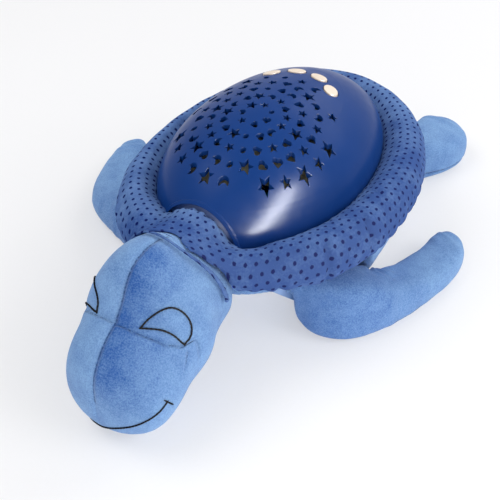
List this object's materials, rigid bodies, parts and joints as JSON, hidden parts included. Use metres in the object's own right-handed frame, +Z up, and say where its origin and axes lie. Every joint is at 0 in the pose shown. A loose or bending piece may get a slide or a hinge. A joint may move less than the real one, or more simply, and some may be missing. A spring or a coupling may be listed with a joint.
{
  "type": "star night light projector",
  "caption": "Plush sea turtle night light: a pierced star-projecting shell with push buttons in a padded ring, stuffed head, swinging flippers and a battery base.",
  "frame": {"origin": "centre of the flat underside that the turtle rests on, below the middle of its shell", "axes": "+Z up, the turtle looks along -Y, its left side is +X"},
  "size_m": [0.2286, 0.3273, 0.1087],
  "materials": {
    "blue_shell": "injection-moulded satin gloss, deep blue",
    "pale_blue_plastic": "moulded, matte greyed blue",
    "cream_button": "moulded, satin cream",
    "cream_plastic": "moulded, matte cream",
    "base_plastic": "moulded, fine texture, mid blue",
    "screw_steel": "zinc-plated steel",
    "cell_jacket": "plain shrink-wrapped steel can",
    "contact_metal": "nickel-plated spring steel",
    "circuit_board": "green solder mask on glass-epoxy board",
    "black_plastic": "moulded black",
    "capacitor_can": "drawn aluminium can",
    "led_lens": "clear epoxy lens",
    "lead_jacket": "soft insulation",
    "ring_cloth": "knitted velour, periwinkle with small navy dots",
    "blue_plush": "short-pile plush, mid blue"
  },
  "bodies": {
    "turtle": {"base_case": "base_plastic", "star_dome": "blue_shell", "front_inset": "pale_blue_plastic", "light_deck": "cream_plastic", "battery_cells": "cell_jacket", "battery_springs": "contact_metal", "contact_plates": "contact_metal", "main_board": "circuit_board", "control_chip": "black_plastic", "capacitors": "capacitor_can", "lamp_board": "circuit_board", "projector_leds": "led_lens", "button_board": "circuit_board", "button_switches": "black_plastic", "battery_lead": "lead_jacket", "led_lead": "lead_jacket", "button_lead": "lead_jacket", "case_screws": "screw_steel", "deck_screws": "screw_steel", "lamp_board_screws": "screw_steel", "button_board_screws": "screw_steel", "main_board_screws": "screw_steel", "clamped_hem": "ring_cloth", "shell_ring": "ring_cloth", "front_hem": "ring_cloth", "belly_pad": "blue_plush", "plush_head": "blue_plush"},
    "left_outer_cap": {"left_outer_button": "cream_button"},
    "left_inner_cap": {"left_inner_button": "cream_button"},
    "right_inner_cap": {"right_inner_button": "cream_button"},
    "right_outer_cap": {"right_outer_button": "cream_button"},
    "door": {"battery_door": "base_plastic", "battery_screw": "screw_steel"},
    "front_left_flipper": {"flipper_front_left": "blue_plush"},
    "front_right_flipper": {"flipper_front_right": "blue_plush"},
    "rear_left_flipper": {"flipper_rear_left": "blue_plush"},
    "rear_right_flipper": {"flipper_rear_right": "blue_plush"}
  },
  "joints": [
    {"name": "left_outer_press", "type": "slide", "parent": "turtle", "child": "left_outer_cap", "axis": [0, 0, -1], "range_m": [0, 0.001], "stiffness_N_per_m": 400},
    {"name": "left_inner_press", "type": "slide", "parent": "turtle", "child": "left_inner_cap", "axis": [0, 0, -1], "range_m": [0, 0.001], "stiffness_N_per_m": 400},
    {"name": "right_inner_press", "type": "slide", "parent": "turtle", "child": "right_inner_cap", "axis": [0, 0, -1], "range_m": [0, 0.001], "stiffness_N_per_m": 400},
    {"name": "right_outer_press", "type": "slide", "parent": "turtle", "child": "right_outer_cap", "axis": [0, 0, -1], "range_m": [0, 0.001], "stiffness_N_per_m": 400},
    {"name": "door_lift", "type": "slide", "parent": "turtle", "child": "door", "axis": [0, 0, -1], "range_m": [0, 0.03]},
    {"name": "front_left_swing", "type": "hinge", "parent": "turtle", "child": "front_left_flipper", "pos_m": [0.06, -0.031, 0.0096], "axis": [0, 0, 1], "range_deg": [-35, 0]},
    {"name": "front_right_swing", "type": "hinge", "parent": "turtle", "child": "front_right_flipper", "pos_m": [-0.06, -0.031, 0.0096], "axis": [0, 0, 1], "range_deg": [-29, 5]},
    {"name": "rear_left_swing", "type": "hinge", "parent": "turtle", "child": "rear_left_flipper", "pos_m": [0.037, 0.073, 0.0111], "axis": [0, 0, 1], "range_deg": [-25, 10]},
    {"name": "rear_right_swing", "type": "hinge", "parent": "turtle", "child": "rear_right_flipper", "pos_m": [-0.037, 0.073, 0.0111], "axis": [0, 0, 1], "range_deg": [-10, 25]}
  ]
}
